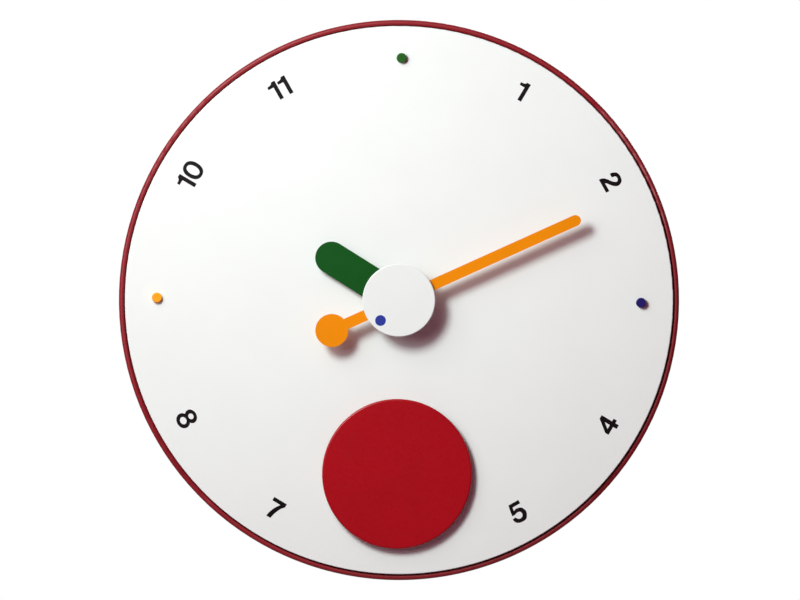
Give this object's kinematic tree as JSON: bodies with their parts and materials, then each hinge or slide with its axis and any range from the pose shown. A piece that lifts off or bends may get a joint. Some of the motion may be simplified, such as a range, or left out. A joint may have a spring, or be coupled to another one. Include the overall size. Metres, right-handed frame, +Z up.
{
  "type": "pendulum wall clock",
  "caption": "Round wall clock: white dial on a red case, strip hands, a turning seconds disc and a free-swinging red pendulum disc in front of the dial",
  "frame": {"origin": "hands' axis, on the plane of the wall", "axes": "+Z up to twelve o'clock, +Y into the wall, so the dial faces -Y, +X towards three o'clock"},
  "size_m": [0.3649, 0.0546, 0.365],
  "materials": {
    "case_red": "moulded plastic, satin, dark red",
    "dial_white": "white dial, fine satin",
    "screw_steel": "zinc-plated steel",
    "rubber_black": "soft black rubber",
    "stud_green": "moulded plastic, green",
    "stud_blue": "moulded plastic, blue",
    "stud_orange": "moulded plastic, orange",
    "hand_green": "satin lacquer, green",
    "hand_orange": "satin lacquer, orange",
    "disc_white": "white satin plastic",
    "dot_blue": "inlaid blue",
    "bob_red": "moulded plastic, satin, red",
    "brass": "turned brass",
    "bright_steel": "drawn steel",
    "movement_black": "fine-textured black plastic",
    "gear_nylon": "natural nylon",
    "magnet_grey": "sintered magnet, nickel skin",
    "board_green": "solder mask",
    "chip_black": "epoxy drop",
    "copper": "enamelled copper wire",
    "cell_shell": "printed steel can"
  },
  "bodies": {
    "clock_body": {"rear_case": "case_red", "rim_ring": "case_red", "dial": "dial_white", "case_screws": "screw_steel", "wall_bumpers": "rubber_black", "stud_12": "stud_green", "stud_3": "stud_blue", "stud_9": "stud_orange", "pivot_pin": "bright_steel", "pivot_clip": "screw_steel", "movement_front_case": "movement_black", "movement_rear_case": "movement_black", "movement_screws": "screw_steel", "threaded_bush": "brass", "hex_nut": "brass", "dial_washer": "brass", "rubber_washer": "rubber_black", "gear_plate": "gear_nylon", "circuit_board": "board_green", "quartz_crystal": "bright_steel", "clock_chip": "chip_black", "motor_bobbin": "gear_nylon", "motor_winding": "copper", "motor_core": "bright_steel", "motor_stator": "bright_steel", "drive_spool": "gear_nylon", "drive_winding": "copper", "battery": "cell_shell", "battery_contact_plus": "bright_steel", "battery_contact_minus": "bright_steel"},
    "hour_work": {"hour_wheel": "gear_nylon", "hour_hand": "hand_green", "hour_collet": "brass"},
    "minute_work": {"minute_wheel": "gear_nylon", "minute_hand": "hand_orange", "minute_collet": "brass"},
    "seconds_work": {"seconds_wheel": "gear_nylon", "seconds_disc": "disc_white", "seconds_dot": "dot_blue", "seconds_collet": "brass"},
    "third_work": {"third_wheel": "gear_nylon"},
    "intermediate_work": {"intermediate_wheel": "gear_nylon"},
    "rotor_work": {"rotor": "gear_nylon", "rotor_magnet": "magnet_grey"},
    "motion_work": {"motion_wheel": "gear_nylon"},
    "knob_work": {"setting_knob": "movement_black"},
    "pendulum": {"pendulum_hanger": "movement_black", "pendulum_magnet": "magnet_grey", "pendulum_arm": "bright_steel", "pendulum_stem": "bright_steel", "stem_screw": "screw_steel", "pendulum_bob": "bob_red"}
  },
  "joints": [
    {"name": "minute_turn", "type": "hinge", "parent": "clock_body", "child": "minute_work", "pos_m": [0, -0.04, 0], "axis": [0, 1, 0], "continuous": true},
    {"name": "hour_turn", "type": "hinge", "parent": "clock_body", "child": "hour_work", "pos_m": [0, -0.04, 0], "axis": [0, 1, 0], "continuous": true},
    {"name": "seconds_turn", "type": "hinge", "parent": "clock_body", "child": "seconds_work", "pos_m": [0, -0.04, 0], "axis": [0, 1, 0], "continuous": true},
    {"name": "third_turn", "type": "hinge", "parent": "clock_body", "child": "third_work", "pos_m": [0.00155, -0.024, -0.01265], "axis": [0, 1, 0], "continuous": true},
    {"name": "intermediate_turn", "type": "hinge", "parent": "clock_body", "child": "intermediate_work", "pos_m": [0.0115, -0.021, 0.00419], "axis": [0, 1, 0], "continuous": true},
    {"name": "rotor_turn", "type": "hinge", "parent": "clock_body", "child": "rotor_work", "pos_m": [0.0157, -0.024, 0.01146], "axis": [0, 1, 0], "continuous": true},
    {"name": "motion_turn", "type": "hinge", "parent": "clock_body", "child": "motion_work", "pos_m": [0.00846, -0.03, -0.00308], "axis": [0, 1, 0], "continuous": true},
    {"name": "knob_turn", "type": "hinge", "parent": "clock_body", "child": "knob_work", "pos_m": [0.01482, -0.02, -0.00944], "axis": [0, 1, 0], "continuous": true},
    {"name": "pendulum_swing", "type": "hinge", "parent": "clock_body", "child": "pendulum", "pos_m": [0, -0.015, 0.04], "axis": [0, 1, 0], "range_deg": [-7, 7]}
  ],
  "couplings": [
    {"joint": "hour_turn", "follows": "minute_turn", "ratio": 0.083333},
    {"joint": "seconds_turn", "follows": "minute_turn", "ratio": 60},
    {"joint": "third_turn", "follows": "minute_turn", "ratio": -8},
    {"joint": "intermediate_turn", "follows": "minute_turn", "ratio": -300},
    {"joint": "rotor_turn", "follows": "minute_turn", "ratio": 1800},
    {"joint": "motion_turn", "follows": "minute_turn", "ratio": -0.33333},
    {"joint": "knob_turn", "follows": "minute_turn", "ratio": 1}
  ]
}
